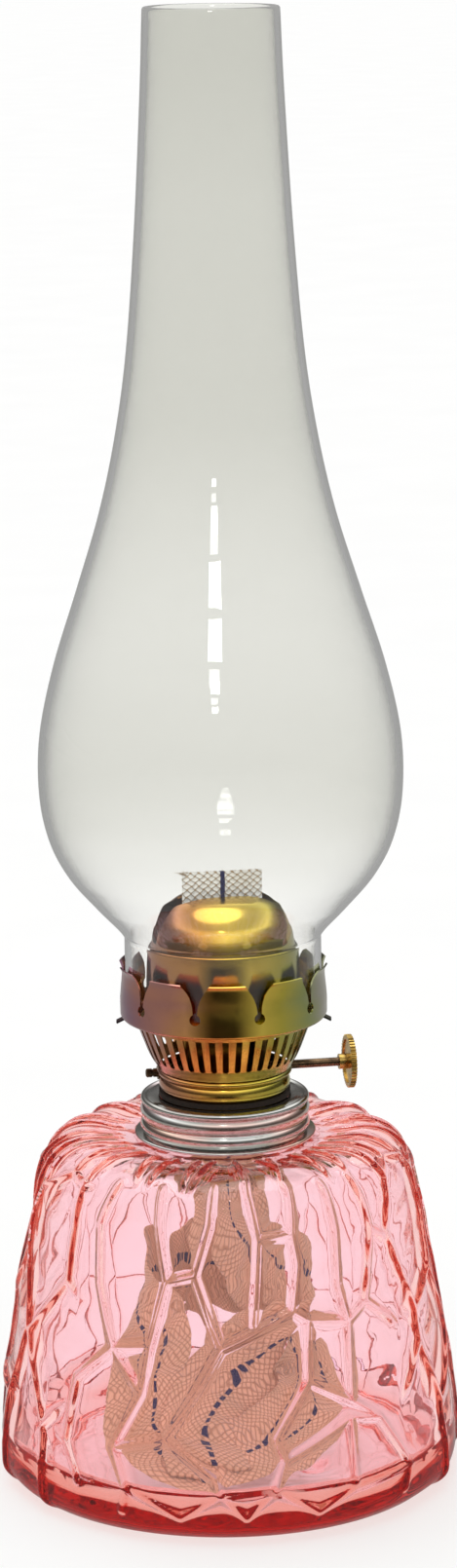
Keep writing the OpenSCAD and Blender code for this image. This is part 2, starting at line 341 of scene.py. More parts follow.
def plain_metal(name, colour, dark, roughness):
    """Bare or lacquered metal with handling marks."""
    made, t = material(name)
    worn = t.noise(t.place, 300.0, 4.0, 0.6)
    tone = t.mix(t.spread(worn, 0.35, 0.75), colour, dark)
    rough = t.spread(t.noise(t.place, 500.0), 0.3, 0.7, roughness - 0.08, roughness + 0.1)
    metal = t.add("BsdfPrincipled", Base_Color=tone, Metallic=1.0, Roughness=rough,
                  Normal=t.bump(worn, 0.00004, 0.2))
    finish_material(t, metal.outputs[0])
    return made


def dull(name, colour, dark, scale, depth, roughness):
    """A matt material with specks, for cork and fibre."""
    made, t = material(name)
    specks = t.noise(t.place, scale, 5.0, 0.65)
    tone = t.mix(t.spread(specks, 0.35, 0.7), dark, colour)
    body = t.add("BsdfPrincipled", Base_Color=tone, Roughness=roughness,
                 Normal=t.bump(specks, depth, 0.6))
    finish_material(t, body.outputs[0])
    return made


BRAID_WIDE = 0.0023
BRAID_TALL = 0.0019
STITCH_PITCH = 0.0034
SOAKED_FROM, SOAKED_TO = 0.045, 0.07


def braid(t, across, along, wobble):
    """Height of the strands of a diagonal braid that go over and under each other."""
    step_across = t.maths("DIVIDE", across, BRAID_WIDE)
    step_along = t.maths("DIVIDE", along, BRAID_TALL)
    slants = [t.maths("ADD", t.maths(sign, step_across, step_along), wobble)
              for sign in ("ADD", "SUBTRACT")]
    ridges = [t.maths("ABSOLUTE", t.maths("SINE", t.maths("MULTIPLY", slant, math.pi)))
              for slant in slants]
    cell = t.maths("ADD", t.maths("FLOOR", slants[0]), t.maths("FLOOR", slants[1]))
    over = t.maths("FLOORED_MODULO", cell, 2.0)
    strand = t.add("Mix", over, settings={"data_type": "FLOAT"})
    for socket, top, under in ((2, ridges[0], ridges[1]), (3, ridges[1], ridges[0])):
        pressed = t.spread(under, 0, 0.6, 0.25, 1)
        t.put(strand.inputs[socket], t.maths("MULTIPLY", top, pressed))
    return strand.outputs[0]


def navy_thread(t, uv, across, along, wobble, soaked, width):
    """1 on the stitched thread down the middle, which blots where it lies in oil."""
    off = t.maths("ABSOLUTE", t.maths("SUBTRACT", across, width / 2))
    off = t.maths("ADD", off, t.maths("MULTIPLY", wobble, 0.0012))
    blots = t.maths("MULTIPLY_ADD", t.noise(uv, 160.0, 1.0), 0.003, -0.0013)
    off = t.maths("SUBTRACT", off, t.maths("MULTIPLY", t.maths("MAXIMUM", blots, 0.0), soaked))
    thread = t.spread(off, 0.0005, 0.00075, 1, 0)
    stitch = t.maths("SINE", t.maths("MULTIPLY", along, 2 * math.pi / STITCH_PITCH))
    dashes = t.maths("MAXIMUM", t.spread(stitch, -0.7, -0.3), t.maths("SUBTRACT", 1.0, soaked))
    return t.maths("MULTIPLY", thread, dashes)


def wick_cotton(width):
    """Braided cotton tape with painted shade between its strands, cream at the top and tan lower
    down, from oil and from painted shade in the font. UV is in metres from the top.
    """
    made, t = material("wick_cotton")
    uv = t.add("TexCoord").outputs["UV"]
    parts = t.add("SeparateXYZ", uv)
    across, along = parts.outputs["X"], parts.outputs["Y"]
    wobble = t.maths("MULTIPLY_ADD", t.noise(uv, 420.0, 2.0), 0.5, -0.25)
    grain = braid(t, across, along, wobble)
    fuzz = t.noise(uv, 2600.0, 3.0)
    height = t.maths("ADD", grain, t.maths("MULTIPLY", fuzz, 0.4))
    # Painted shade: the cotton is darker where the strands dip, in the gaps of the braid.
    clean = t.mix(t.spread(grain, 0.15, 0.45), linear(168, 142, 104), linear(255, 255, 250))
    oiled_and_shaded = t.mix(t.spread(grain, 0.15, 0.7), linear(190, 144, 114), linear(232, 188, 156))
    # Tan from 45 to 70 mm down the tape on: oil it soaks up, and painted shade inside the font.
    soaked = t.spread(along, SOAKED_FROM, SOAKED_TO)
    cotton = t.mix(soaked, clean, oiled_and_shaded)
    cotton = t.mix(t.spread(t.noise(uv, 90.0, 3.0), 0.4, 0.75, 0, 0.35), cotton,
                   linear(170, 146, 112))
    thread = navy_thread(t, uv, across, along, wobble, soaked, width)
    colour = t.mix(thread, cotton, linear(22, 22, 78))
    cloth = t.add("BsdfPrincipled", Base_Color=colour, Roughness=0.95, Sheen_Weight=0.25,
                  Sheen_Roughness=0.5, Specular_IOR_Level=0.15,
                  Normal=t.bump(height, 0.0004, 0.9))
    finish_material(t, cloth.outputs[0])
    return made


# ---------------------------------------------------------------- font

FONT_WALL = 3.2
RELIEF_RADIUS = 58.0
RIB_HEIGHT = 1.1
DISH_DEPTH = 0.35
FONT_SEGMENTS = 840
FOOT = [(50, 0), (54, 0), (58, 0)]
SHOULDER = [(63, 12), (62.4, 16.8), (60.9, 28), (58.9, 39.4), (56.2, 56), (53.7, 72),
            (52.3, 79), (50.6, 85.4), (47.9, 90.4), (43.6, 93.9), (38.2, 95.3), (32.5, 95),
            (27, 94.3)]
NECK = [(22.6, 94.3), (21.0, 95.6), (21.0, 103.4), (20.2, 104.2), (19.2, 104.2), (18.6, 103.6)]
# Ribs that face the camera: lines through places given as bearing in degrees and height in mm
FRONT_RIBS = [
    [(-31, 92), (-30, 82), (-27, 69), (-31, 52), (-33, 39), (-40, 24), (-36, 14), (-37, 2)],
    [(-27, 69), (-19, 71)],
    [(-14, 93), (-15, 84), (-19, 71), (-12, 52), (-18, 41), (-26, 28), (-40, 24)],
    [(-12, 52), (8, 61), (12, 58), (24, 56)],
    [(10, 92), (9, 81), (10, 73), (8, 61)],
    [(12, 58), (11, 42), (2, 28), (4, 22), (22, 31), (31, 29), (40, 14), (38, 2)],
    [(9, 81), (-1, 80), (-4, 93)],
    [(-1, 80), (-3, 58)],
    [(11, 42), (23, 35), (31, 29)],
    [(34, 92), (36, 78), (31, 60), (24, 56), (23, 35)],
    [(22, 92), (23, 80), (22, 66), (24, 56)],
    [(-47, 92), (-50, 82), (-48, 66), (-42, 50), (-53, 40), (-55, 23), (-50, 13)],
    [(-42, 50), (-31, 52)],
    [(-42, 50), (-33, 39)],
    [(4, 22), (1, 14), (12, 4), (22, 12), (22, 31)],
    [(-26, 28), (-14, 18), (-12, 13), (-22, 3), (-36, 14)],
    [(-12, 13), (1, 14)],
    [(-12, 13), (-6, 2), (1, 14)],
    [(22, 12), (40, 14)],
    [(-55, 23), (-64, 26)],
    [(36, 78), (46, 72)],
    [(31, 60), (44, 50)],
]
FRONT_FROM, FRONT_TO = -60.0, 44.0


def panel_middles(height_at):
    """Middles of the panels all round, as (distance round, distance up the outline) in mm."""
    draw = random.Random(11)
    middles = []
    rows = [(20, 15, 0.0), (45, 14, 0.5), (70, 14, 0.1)]
    for z, count, start in rows:
        for i in range(count):
            bearing = (i + start) * 360 / count + draw.uniform(-5, 5)
            middles.append((bearing, height_at(z + draw.uniform(-7, 7))))
    for i in range(34):
        middles.append((i * 360 / 34 + draw.uniform(-4, 4), height_at(94) + draw.uniform(8, 22)))
    return [(math.radians(b) * RELIEF_RADIUS, up) for b, up in middles]


def ridge(distance, half):
    """A raised rib with a round top and steep sides."""
    return 1 / (1 + (distance / half) ** 4)


def dish(distance):
    """Depth in mm of the hollow inside a panel, at a distance from its edge."""
    return DISH_DEPTH * (1 - np.exp(-((distance / 4) ** 2)))


def panel_edges(bearing, up, middles):
    """Distance in mm to the edge between the two nearest panels."""
    tall = 0.55
    turn = 2 * math.pi * RELIEF_RADIUS
    best = [np.full(bearing.shape, 1e9), np.full(bearing.shape, 1e9)]
    near = [np.zeros(bearing.shape + (2,)), np.zeros(bearing.shape + (2,))]
    for mu, mv in middles:
        du = (bearing * RELIEF_RADIUS - mu + turn / 2) % turn - turn / 2
        dv = up - mv
        d = du**2 + (tall * dv) ** 2
        offset = np.stack([du, dv], -1)
        first, second = d < best[0], (d >= best[0]) & (d < best[1])
        best[1] = np.where(first, best[0], np.where(second, d, best[1]))
        near[1] = np.where(first[..., None], near[0], np.where(second[..., None], offset, near[1]))
        best[0] = np.where(first, d, best[0])
        near[0] = np.where(first[..., None], offset, near[0])
    apart = near[0] - near[1]
    slope = np.hypot(apart[..., 0], tall**2 * apart[..., 1])
    return (best[1] - best[0]) / (2 * slope + 1e-9)


def from_front(bearing):
    """The same bearing in radians, between minus and plus half a turn."""
    return (bearing + math.pi) % (2 * math.pi) - math.pi


def front_edges(bearing, up, height_at):
    """Distance in mm to the nearest of the listed ribs."""
    across = from_front(bearing) * RELIEF_RADIUS
    nearest = np.full(bearing.shape, 1e9)
    for line in FRONT_RIBS:
        spots = [(math.radians(b) * RELIEF_RADIUS, height_at(z)) for b, z in line]
        for (au, av), (bu, bv) in zip(spots[:-1], spots[1:]):
            length = (bu - au) ** 2 + (bv - av) ** 2
            share = np.clip(((across - au) * (bu - au) + (up - av) * (bv - av)) / length, 0, 1)
            gap = np.hypot(across - au - share * (bu - au), up - av - share * (bv - av))
            nearest = np.minimum(nearest, gap)
    return nearest


def relief(bearing, up, radius, height_at):
    """Height of the raised ribs between panels, less the dish inside each panel, in mm."""
    around_all = panel_edges(bearing, up, panel_middles(height_at))
    half = 1.0 * np.sqrt(np.clip(radius, 24, 63) / RELIEF_RADIUS)
    plain = ridge(around_all, half) - dish(around_all)
    placed = front_edges(bearing, up, height_at)
    front = ridge(placed, 1.0) - dish(placed)
    degrees = np.degrees(from_front(bearing))
    inside = np.clip((degrees - FRONT_FROM) / 4, 0, 1) * np.clip((FRONT_TO - degrees) / 4, 0, 1)
    inside = inside * np.clip((height_at(94) - up) / 5, 0, 1)
    return RIB_HEIGHT * (inside * front + (1 - inside) * plain)


def ripple(bearing, up, seed, size):
    """Slow waves in hand-worked glass."""
    draw = random.Random(seed)
    total = np.zeros(np.broadcast(bearing, up).shape)
    for _ in range(9):
        laps = draw.randint(3, 16)
        pitch = draw.uniform(12, 45)
        phase = draw.uniform(0, 2 * math.pi)
        total = total + np.sin(laps * bearing + up * 2 * math.pi / pitch + phase)
    return size * total / 3


def font_outside():
    corner = arc((55.8, 7.2), 7.2, -56, 0, 9)
    return evenly(np.vstack([FOOT, corner, catmull(SHOULDER, 10)]), 0.55)


def font_inside():
    wall = inset(catmull(SHOULDER, 10), FONT_WALL)[::-1]
    corner = arc((48.6, 15.2), 10.0, -8, -84, 11)
    mouth, floor = [(18.6, 92.6), (19.8, 91.2)], [(30, 5.8), (0.02, 6.4)]
    return evenly(np.vstack([mouth, wall, corner, floor]), 1.4)


def pressed_outside(outside, bearing):
    """The outside with its ribs, panels and waves, as (radius, height) all round."""
    up = run_of(outside)
    climb, top = outside[:, 0].argmax(), outside[:, 1].argmax()

    def height_at(z):
        return float(np.interp(z, outside[climb:top, 1], up[climb:top]))

    grid_up, grid_bearing = up[:, None] + 0 * bearing, bearing + 0 * up[:, None]
    raised = relief(grid_bearing, grid_up, outside[:, 0][:, None], height_at)
    raised += ripple(bearing, up[:, None], 5, 0.16)
    fade = np.clip((up - 8) / 7, 0, 1) * np.clip((up[-1] - up) / 4, 0, 1)
    raised *= fade[:, None]
    return outside[:, None, :] - normals_of(outside)[:, None, :] * raised[..., None]


def wavy_inside(inside, bearing):
    """The inside with two sizes of slow waves, as (radius, height) all round."""
    run = run_of(inside)
    waves = ripple(bearing, run[:, None], 23, 0.16)
    waves = waves + ripple(bearing * 2, run[:, None] * 2.4, 31, 0.07)
    waves *= (np.clip(run / 8, 0, 1) * np.clip((run[-1] - run) / 30, 0, 1))[:, None]
    return inside[:, None, :] - normals_of(inside)[:, None, :] * waves[..., None]


def make_font():
    """The pressed glass reservoir, one closed skin with its inside and its underside."""
    bearing = np.linspace(0, 2 * math.pi, FONT_SEGMENTS, endpoint=False)[None, :]
    underside = evenly(np.array([(0.02, 2.6), (30, 2.2), (47.5, 1.2), (50, 0)]), 3.0)[:-1]
    neck, base = [np.repeat(np.array(part, float)[:, None, :], FONT_SEGMENTS, 1)
                  for part in (NECK, underside)]
    profile = np.concatenate([pressed_outside(font_outside(), bearing), neck,
                              wavy_inside(font_inside(), bearing), base])
    r, z = profile[..., 0], profile[..., 1]
    points = np.stack([r * np.sin(bearing), -r * np.cos(bearing), z], 2) * MM
    return weld(skin("font_relief_glass", points, wrap_rows=True), 3e-5)


# ---------------------------------------------------------------- chimney

CHIMNEY_WALL = 1.7
FITTER_RADIUS = 26.6
RIM_RADIUS = 18.0
CREASE_HEIGHT = 150.5


def make_chimney():
    """A straight fitter, a crease, a round bulge and a long neck, with fire-rounded lips."""
    low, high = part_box("chimney")
    lip = CHIMNEY_WALL / 2
    rim, foot = high[2] / MM - lip, low[2] / MM + lip
    bulge = catmull([(FITTER_RADIUS, CREASE_HEIGHT), (28.8, 153.4), (34.6, 159.6), (41.6, 168),
                     (46.4, 177.6), (48.8, 190), (48.4, 206), (44.4, 224.5), (38, 244.5),
                     (31.5, 265.5), (26.9, 286), (23.5, 309), (20.85, 341), (18.85, 376),
                     (RIM_RADIUS, rim)], 12)
    tube = np.array([(FITTER_RADIUS, z) for z in (foot, 134, 140, 146, 149.6)])
    outside = np.vstack([tube, bulge])
    inside = inset(outside, CHIMNEY_WALL)[::-1]
    lip_top = arc((RIM_RADIUS - lip, rim), lip, 15, 165, 7)
    lip_foot = arc((FITTER_RADIUS - lip, foot), lip, 195, 345, 7)
    profile = np.vstack([outside, lip_top, inside, lip_foot])
    return skin("chimney_blown_glass", around(profile, 256), wrap_rows=True)


# ---------------------------------------------------------------- burner

SHEET = 0.45
PRONGS = 10
SHAFT_PLACE = (4.9, 111.2)


def stand_in(made, body, node, slot):
    """The piece takes the place of a CAD node and rides on that node's body."""
    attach(made, body)
    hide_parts(node)
    made.data.materials.append(looks[slot])
    return made


def sheet_round(name, outline, segments=288):
    """A shell of sheet metal under an outline that runs upwards, closed at both edges."""
    profile = np.vstack([outline, inset(outline, SHEET)[::-1]])
    profile[:, 0] = np.maximum(profile[:, 0], 0.015)
    return weld(skin(name, around(profile, segments), wrap_rows=True), 1.2e-5)


def make_dome():
    """Two tiers with a rolled step between them, and a slot for the flame."""
    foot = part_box("deflector_dome")[0][2] / MM
    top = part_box("deflector_dome")[1][2] / MM
    skirt = catmull([(20.85, foot), (20.9, 134), (20.8, 140), (20.55, 145), (20.25, 148)], 5)
    step = arc((19.6, 148.3), 0.6, 5, 100, 7)
    cap = catmull([(19.3, 149.5), (19.1, 151), (18.35, 153.4), (16.9, 156.2), (14.8, 158.5),
                   (11.8, 160.2), (8, 161.1), (4, top - 0.05), (0.02, top)], 7)
    dome = sheet_round("dome_two_tier", np.vstack([skirt, step, cap]))
    slot = [(-3.75, 150.7), (3.75, 150.7), (3.75, 175), (-3.75, 175)]
    cut(dome, prisms("flame_slot", slot, -32, 32, [0]))
    return stand_in(dome, "burner", "deflector_dome", "gold_zinc")


def make_gallery():
    """A flared ring of sheet, cut into prongs by keyhole gaps."""
    low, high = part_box("gallery")
    foot, top, outer = low[2] / MM, high[2] / MM, 28.05
    corner = arc((outer - 1.3, foot + 1.3), 1.3, -90, 0, 8)
    wall = catmull([(outer, 130.5), (outer, 133), (27.8, 136), (27.55, 138.6), (27.5, 140.3),
                    (27.75, 141.4), (28.35, top)], 6)
    ring = sheet_round("gallery_prongs", np.vstack([[(23, foot), (25, foot)], corner, wall]), 320)
    hole = arc((0, 133.4), 1.5, 113, 427, 22)
    mouth = catmull([(0.62, 135), (0.85, 137), (1.7, 139.4), (3.2, 141.6), (4.6, top + 1)], 4)
    gap = np.vstack([hole, mouth, (mouth * (-1, 1))[::-1]])
    turns = [28 + 360 / PRONGS * i for i in range(PRONGS)]
    cut(ring, prisms("gaps", [tuple(spot) for spot in gap], 20, 34, turns))
    return stand_in(ring, "burner", "gallery", "gold_zinc")


def bead(radius, proud, low, high, count=14):
    """The outline of a rolled bead that stands out from a radius."""
    turn = np.linspace(0, math.pi, count)
    return np.stack([radius + proud * np.sin(turn) ** 0.8, low + (high - low) * turn / math.pi], 1)


def make_collar():
    """Spun collar: a flange, two thread beads and a rolled top edge."""
    outside = np.vstack([
        arc((24.25, 95.35), 0.45, -90, 90, 9), [(22.7, 95.9)], bead(22.25, 0.85, 96.1, 99.6),
        bead(22.25, 0.85, 99.8, 103.6), [(22.3, 103.9)], arc((22.0, 104.95), 0.95, -38, 140, 14),
        [(20.6, 105.75), (18.6, 105.8), (17.85, 105.7)]])
    inside = np.array([(17.8, 97.6), (18.2, 97.6), (18.25, 105.35), (21.8, 105.2), (21.95, 95)])
    collar = skin("collar_spun", around(np.vstack([outside, inside]), 320), wrap_rows=True)
    collar.data.set_sharp_from_angle(angle=math.radians(50))
    return stand_in(collar, "collar", "collar_cap", "silver_zinc")


def make_burner_base():
    """The screwed skirt, with the two rolled beads that rest on the collar."""
    threads = np.vstack([bead(16.9, 0.45, 99 + 3 * i, 101 + 3 * i, 8) for i in range(2)])
    outside = np.vstack([
        [(16.9, 98.5)], threads, [(16.9, 107.3)], bead(17.15, 0.7, 107.5, 111.35, 18),
        bead(17.3, 1.05, 111.5, 113.65, 14), [(17.0, 113.7)]])
    inside = np.array([(16.45, 113.7), (16.45, 98.5)])
    base = skin("burner_beads", around(np.vstack([outside, inside]), 288), wrap_rows=True)
    base.data.set_sharp_from_angle(angle=math.radians(50))
    bore = [tuple(spot) for spot in arc(SHAFT_PLACE, 1.9, 0, 345, 24)]
    cut(base, prisms("shaft_way", bore, -30, 30, [0]))
    return stand_in(base, "burner", "burner_base", "gold_zinc")


# ---------------------------------------------------------------- wick

WICK_WIDTH = 22.0
WICK_THICKNESS = 1.7
HEAP_SHARE = 0.84
FIBRES = 150
FIBRE_RADIUS = 0.085
FIBRE_STEPS, FIBRE_SIDES = 5, 4
# Middle of the tape below the burner: place in mm and the way its width points.
# X is the camera's right and Y is away from it.
WICK_ROUTE = [
    ((1, 0, 99), (1, 0.1, 0)), ((1, 0, 88), (1, 0.25, 0)), ((1, 1, 76), (1, 0.5, 0)),
    ((3, 4, 65), (0.9, 0.6, 0.1)), ((10, 12, 56), (0.5, 0.4, 0.6)),
    ((19, 17, 50), (0, -0.1, 1)), ((24, 25, 46), (-0.2, 0, 1)), ((14, 31, 45), (0.1, 0, 1)),
    ((0, 31, 46), (0.1, 0.1, 1)), ((-14, 28, 49), (0, 0.2, 1)), ((-24, 20, 48), (0.1, 0.3, 1)),
    ((-27, 8, 42), (0.4, 0.3, 0.9)), ((-24, -4, 37), (0.8, 0.2, 0.6)),
    ((-26, -15, 28), (0.85, 0.3, 0.35)), ((-24, -26, 17), (0.9, 0.35, 0.3)),
    ((-14, -33, 12), (0.3, 0.9, 0.3)), ((0, -31, 12), (-0.35, 0.85, 0.4)),
    ((14, -24, 15), (-0.45, 0.7, 0.55)), ((25, -14, 19), (-0.5, 0.4, 0.75)),
    ((27, -3, 27), (-0.75, 0.1, 0.65)), ((18, 1, 35), (-0.7, 0.25, 0.65)),
    ((7, -6, 31), (-0.55, 0.4, 0.75)), ((-4, -15, 24), (-0.5, 0.4, 0.75)),
    ((-8, -26, 17), (-0.9, 0.2, 0.3)), ((-6, -38, 11.5), (-0.95, 0.1, 0.2)),
]


def wick_line():
    """Middle line and width direction of the whole tape, top end first, in mm."""
    low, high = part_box("wick")
    top = high[2] / MM
    straight = [((0, 0, z), (1, 0, 0)) for z in np.linspace(top, 104, 9)]
    turn = math.radians(CAMERA_BEARING)
    twist = np.array([[math.cos(turn), -math.sin(turn), 0], [math.sin(turn), math.cos(turn), 0],
                      [0, 0, 1]])
    slim = np.array([HEAP_SHARE, 1, 1])
    hanging = [(twist @ (np.array(place) * slim), twist @ np.array(way))
               for place, way in WICK_ROUTE]
    stations = straight + hanging
    line = catmull([s[0] for s in stations], 24)
    way = catmull([np.array(s[1], float) / np.linalg.norm(s[1]) for s in stations], 24)
    light = 0.001
    both = evenly(np.hstack([line, way * light]), 0.9)
    return both[:, :3], both[:, 3:] / light


def fibre(draw, corner, top):
    """Rings of points along one loose fibre, in mm."""
    x = -WICK_WIDTH / 2 + (abs(draw.gauss(0, 1.6)) if corner else draw.uniform(0, WICK_WIDTH))
    start = np.array([x, draw.uniform(-0.7, 0.7), top[2] - 0.5])
    lean = -0.7 if corner else 0
    way = np.array([draw.gauss(lean, 0.5), draw.gauss(0, 0.4), draw.uniform(0.5, 1)])
    reach = draw.uniform(0.9, 2.2) if corner else draw.uniform(0.6, 1.3)
    bend = np.array([draw.gauss(0, 0.5), draw.gauss(0, 0.5), -0.3])
    t = np.linspace(0, 1, FIBRE_STEPS)[:, None]
    spine = start + reach * (way * t + bend * t**2)
    spine[:, 2] = np.minimum(spine[:, 2], top[2] + 0.9)
    wide = (FIBRE_RADIUS * (1 - 0.5 * t))[:, :, None]
    turn = np.linspace(0, 2 * math.pi, FIBRE_SIDES, endpoint=False)
    ring = np.stack([np.cos(turn), np.sin(turn), 0 * turn], 1)[None]
    return spine[:, None, :] + wide * ring


def make_fringe(top):
    """Loose cotton ends along the cut top edge, most of them at the left corner."""
    draw = random.Random(8)
    verts, faces = [], []
    sides, steps = FIBRE_SIDES, FIBRE_STEPS - 1
    for i in range(FIBRES):
        tube = fibre(draw, i % 3 == 0, top)
        first = len(verts)
        verts += (tube.reshape(-1, 3) * MM).tolist()
        for k in range(steps):
            low, high = first + sides * k, first + sides * (k + 1)
            for j in range(sides):
                after = (j + 1) % sides
                faces.append([low + j, low + after, high + after, high + j])
        faces.append([first + j for j in range(sides)][::-1])
        faces.append([first + sides * steps + j for j in range(sides)])
    fringe = solid("wick_fringe", verts, faces)
    shade_smooth(fringe.data)
    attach(fringe, "wick")
    return fringe


def creases(run, ring_x):
    """Height in mm of the small creases in the part of the tape that hangs loose."""
    draw = random.Random(3)
    curl = np.zeros((len(run), len(ring_x)))
    for _ in range(6):
        pitch, phase, lean = draw.uniform(9, 26), draw.uniform(0, 6.28), draw.uniform(-0.12, 0.12)
        curl += 0.28 * np.sin(run[:, None] * 2 * math.pi / pitch + ring_x[None, :] * lean + phase)
    loose = np.clip((run - 75) / 15, 0, 1)
    return curl * loose[:, None]


def close_and_unwrap(mesh, run, ring_x):
    """Closes the tape's two ends and gives it a UV in metres, across and from the top."""
    count = len(ring_x)
    ends = [list(range(count))[::-1], [i + (len(run) - 1) * count for i in range(count)]]
    faces = [list(p.vertices) for p in mesh.polygons] + ends
    verts = [v.co[:] for v in mesh.vertices]
    mesh.clear_geometry()
    mesh.from_pydata(verts, [], faces)
    shade_smooth(mesh)
    uv = mesh.uv_layers.new(name="tape")
    u_of = np.tile((ring_x + WICK_WIDTH / 2) * MM, len(run))
    v_of = np.repeat(run[::-1] * MM, count)
    corners = np.zeros(len(mesh.loops), int)
    mesh.loops.foreach_get("vertex_index", corners)
    uv.data.foreach_set("uv", np.stack([u_of[corners], v_of[corners]], 1).ravel())


def make_wick():
    """The whole tape, from the flame down through the burner to its heap in the font."""
    line, way = wick_line()
    along = np.gradient(line, axis=0)
    along /= np.linalg.norm(along, axis=1)[:, None]
    way = way - (way * along).sum(1)[:, None] * along
    way /= np.linalg.norm(way, axis=1)[:, None]
    face = np.cross(along, way)
    run = run_of(line)
    half, thick = WICK_WIDTH / 2, WICK_THICKNESS / 2
    across = half * np.sin(np.linspace(-math.pi / 2, math.pi / 2, 15))
    bulk = thick * np.clip(1 - (np.abs(across) / half) ** 8, 0, 1) ** 0.5
    ring_x = np.concatenate([across, across[-2:0:-1]])
    ring_y = np.concatenate([-bulk, bulk[-2:0:-1]])
    points = (line[:, None, :] + way[:, None, :] * ring_x[None, :, None]
              + face[:, None, :] * (ring_y[None, :] + creases(run, ring_x))[..., None])
    tape = skin("wick_tape", points[::-1] * MM)
    close_and_unwrap(tape.data, run, ring_x)
    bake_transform(tape)
    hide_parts("wick", "wick_tail")
    fringe = make_fringe(line[0])
    return tape, fringe


# ---------------------------------------------------------------- assembly

GOLD_HUES = [
    (0.06, linear(140, 104, 124)), (0.22, linear(184, 130, 112)), (0.38, linear(206, 150, 74)),
    (0.52, linear(226, 194, 84)), (0.68, linear(184, 172, 74)), (0.83, linear(150, 158, 104)),
    (0.97, linear(160, 158, 146)),
]
SILVER_HUES = [
    (0.05, linear(236, 208, 156)), (0.2, linear(222, 186, 190)), (0.36, linear(206, 208, 206)),
    (0.5, linear(192, 190, 184)), (0.62, linear(224, 186, 176)), (0.76, linear(196, 208, 170)),
    (0.92, linear(236, 214, 160)),
]

looks = {
    "pink_glass": pink_glass(),
    "clear_glass": clear_glass(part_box("chimney")[0][2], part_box("chimney")[1][2]),
    "gold_zinc": passivated_zinc("gold_zinc", GOLD_HUES, 15.0, 0.3, 0.2, 0.16),
    "silver_zinc": passivated_zinc("silver_zinc", SILVER_HUES, 4.0, 0.5, 1.2, 0.13),
    "inner_sheet": plain_metal("inner_sheet", linear(150, 118, 60), linear(78, 60, 34), 0.38),
    "knob_brass": plain_metal("knob_brass", linear(214, 182, 104), linear(150, 118, 56), 0.27),
    "shaft_steel": plain_metal("shaft_steel", linear(128, 104, 78), linear(60, 46, 36), 0.26),
    "cork": dull("cork", linear(170, 126, 84), linear(96, 64, 40), 700.0, 0.0004, 0.9),
    "seal_fibre": dull("seal_fibre", linear(52, 36, 24), linear(24, 16, 12), 1500.0, 0.0002, 0.8),
    "wick_cotton": wick_cotton(WICK_WIDTH * MM),
}
chimney = stand_in(make_chimney(), "chimney", "chimney", "clear_glass")
chimney.visible_glossy = False
chimney.visible_diffuse = False
font = stand_in(make_font(), "font", "font_glass", "pink_glass")
font.visible_diffuse = False
make_dome()
make_gallery()
make_collar()
make_burner_base()
wick_pieces = make_wick()
for piece in wick_pieces:
    piece.data.materials.append(looks["wick_cotton"])

kept_nodes = {
    "gold_zinc": ["air_basket", "gallery_tabs", "wick_tube"],
    "silver_zinc": ["shaft_clip"],
    "inner_sheet": ["base_plate", "vent_tube", "wheel_housing", "air_plate", "feed_wheel_left",
                    "feed_wheel_middle", "feed_wheel_right", "bush_left", "bush_right"],
    "knob_brass": ["thumb_wheel"],
    "shaft_steel": ["spindle_shaft", "knob_rivet"],
    "cork": ["collar_gasket"],
    "seal_fibre": ["burner_seal"],
}
for look, nodes in kept_nodes.items():
    for node in nodes:
        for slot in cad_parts[node].material_slots:
            slot.material = looks[look]


# ---------------------------------------------------------------- stage

FLOOR_DROP = 0.0003
BACKDROP = 0.97
FLOOR_REACH = 40.0
# Painted reflection: how dark the floor shows in the gloss of metal.
FLOOR_PAINTED_DARK_IN_METAL = (0.5, 0.49, 0.47, 1)
WINDOW_BEARING, WINDOW_DISTANCE = -13, 2.2
SKY = 0.76
SKY_IN_GLASS = 0.42
SKY_THROUGH_GLASS = 1.2
# Painted light: how much the floor glows where it is seen through glass.
PAINTED_FLOOR_GLOW_THROUGH_GLASS = 0.14


def satin_gloss(t, path):
    """1 for reflections in brushed metal, and 0 for everything else."""
    blurred = t.maths("SUBTRACT", path.outputs["Is Glossy Ray"], path.outputs["Is Singular Ray"])
    outside = t.maths("SUBTRACT", blurred, path.outputs["Is Transmission Ray"])
    return t.maths("MAXIMUM", outside, 0.0)


def sharp_gloss(t, path):
    """1 for mirror reflections in the outside of glass, and 0 for everything else."""
    mirror = t.maths("MULTIPLY", path.outputs["Is Glossy Ray"], path.outputs["Is Singular Ray"])
    return t.maths("MAXIMUM", t.maths("SUBTRACT", mirror, path.outputs["Is Transmission Ray"]), 0.0)


def make_floor():
    """A pale floor that runs on past the horizon, a hair under the glass foot. It is painted darker
    in the reflections of metal and glass, and glows where it is seen through glass.
    """
    grid = np.linspace(-FLOOR_REACH, FLOOR_REACH, 9)
    points = np.stack(np.meshgrid(grid, grid) + [np.full((9, 9), -FLOOR_DROP)], 2)
    floor = skin("floor", points, wrap_columns=False)
    made, t = material("pale_floor")
    mottle = t.noise(t.place, 14.0, 4.0)
    tone = t.mix(t.spread(mottle, 0.3, 0.7), (0.93, 0.93, 0.925, 1), (0.945, 0.945, 0.94, 1))
    path = t.add("LightPath")
    # Painted reflection: the floor is darker in the reflections of metal and glass.
    tone = t.mix(satin_gloss(t, path), tone, FLOOR_PAINTED_DARK_IN_METAL, "MULTIPLY")
    tone = t.mix(sharp_gloss(t, path), tone, grey(SKY_IN_GLASS), "MULTIPLY")
    # Painted light: the floor glows a little for rays that come through glass.
    painted_glow = t.maths("MULTIPLY", path.outputs["Is Transmission Ray"], PAINTED_FLOOR_GLOW_THROUGH_GLASS)
    body = t.add("BsdfPrincipled", Base_Color=tone, Roughness=0.8, Specular_IOR_Level=0.0,
                 Emission_Color=grey(1), Emission_Strength=painted_glow)
    finish_material(t, body.outputs[0])
    floor.data.materials.append(made)


